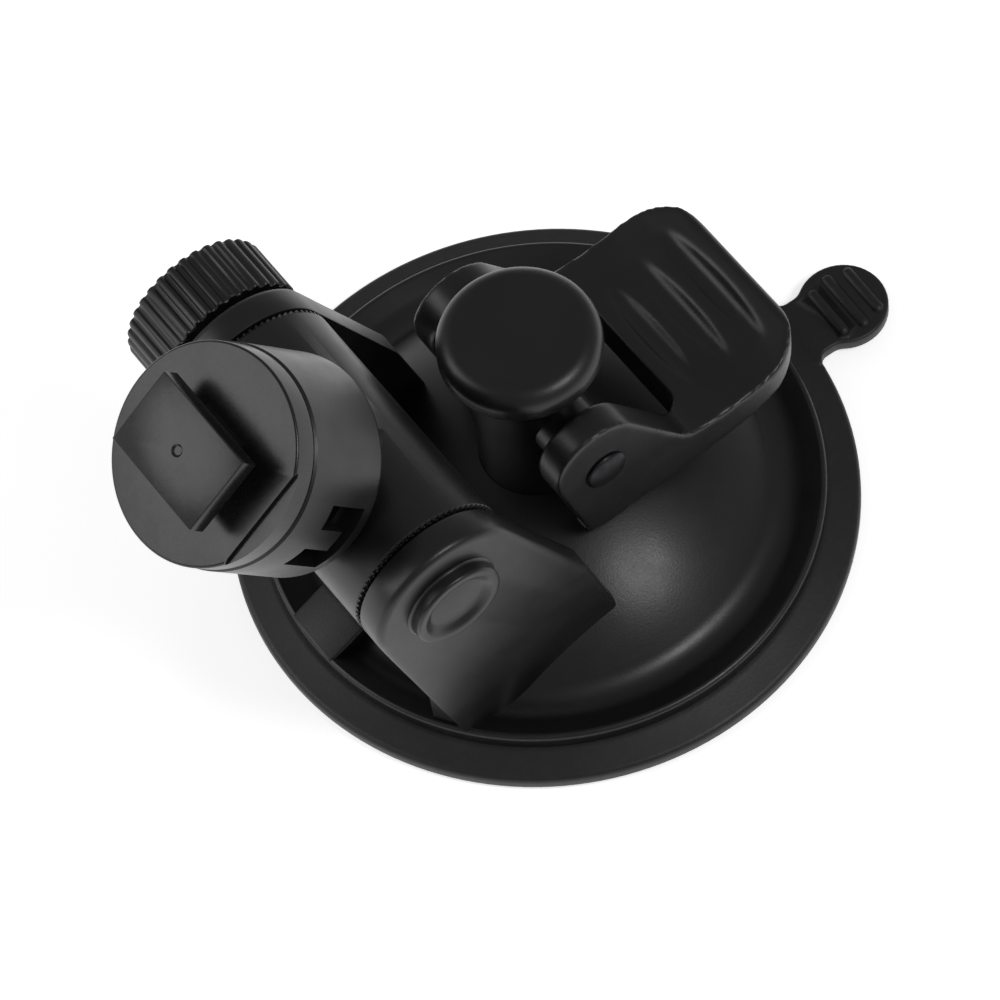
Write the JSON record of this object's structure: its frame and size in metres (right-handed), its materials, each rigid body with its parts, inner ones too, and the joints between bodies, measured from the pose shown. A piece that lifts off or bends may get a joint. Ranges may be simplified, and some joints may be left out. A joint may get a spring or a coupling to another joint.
{
  "type": "suction windscreen mount for a dash camera",
  "caption": "Suction windscreen mount for a dash camera: lever-locked cup, tilting swivel head clamped by a knob, and a turning T-shaped slide plate.",
  "frame": {"origin": "on the suction cup's axis, in the plane of the glass that the cup seals on", "axes": "+X from the cup's axis towards the pull tab and the lever's paddle, +Y towards the clamp knob, +Z away from the glass"},
  "size_m": [0.0933, 0.07, 0.0616],
  "materials": {
    "black_abs": "satin moulded ABS, finely textured",
    "black_abs_gloss": "smoother semi-gloss moulded plastic",
    "soft_pvc": "soft PVC, satin",
    "steel": "bright zinc plated",
    "brass": "turned"
  },
  "bodies": {
    "base": {"suction_cup": "soft_pvc", "base_cover": "black_abs", "release_spring": "steel", "clamp_bolt": "black_abs", "pivot_sleeve": "steel"},
    "plunger": {"plunger_post": "black_abs", "plunger_cap": "black_abs", "cup_insert": "steel", "stem_screw": "steel", "spring_seat": "steel", "lever_pin": "steel", "pin_clip": "steel", "thrust_washers": "steel"},
    "lever": {"cam_lever": "black_abs"},
    "arm": {"swivel_body": "black_abs", "friction_washer": "steel", "snap_ring": "steel"},
    "knob_carrier": {"knob_washer": "steel"},
    "knob": {"clamp_knob": "black_abs", "knob_nut": "brass"},
    "disc": {"t_disc": "black_abs_gloss"}
  },
  "joints": [
    {"name": "plunger_slide", "type": "slide", "parent": "base", "child": "plunger", "axis": [0, 0, 1], "range_m": [-0.0019, 0], "deforming": ["suction_cup", "release_spring"]},
    {"name": "lever_hinge", "type": "hinge", "parent": "plunger", "child": "lever", "pos_m": [0.0006, 0, 0.0257], "axis": [0, -1, 0], "range_deg": [0, 70]},
    {"name": "arm_tilt", "type": "hinge", "parent": "base", "child": "arm", "pos_m": [-0.0233, 0, 0.0345], "axis": [0, 1, 0], "range_deg": [-75, 45]},
    {"name": "disc_spin", "type": "hinge", "parent": "arm", "child": "disc", "pos_m": [-0.03795, 0, 0.05488], "axis": [-0.5835, 0, 0.8121], "continuous": true},
    {"name": "knob_travel", "type": "slide", "parent": "base", "child": "knob_carrier", "axis": [0, 1, 0], "range_m": [0, 0.0008]},
    {"name": "knob_turn", "type": "hinge", "parent": "knob_carrier", "child": "knob", "pos_m": [-0.0233, 0.0236, 0.0345], "axis": [0, 1, 0], "range_deg": [0, 360]}
  ],
  "couplings": [
    {"joint": "lever_hinge", "follows": "plunger_slide", "rad_per_m": -640},
    {"joint": "knob_turn", "follows": "knob_travel", "rad_per_m": 7854}
  ]
}
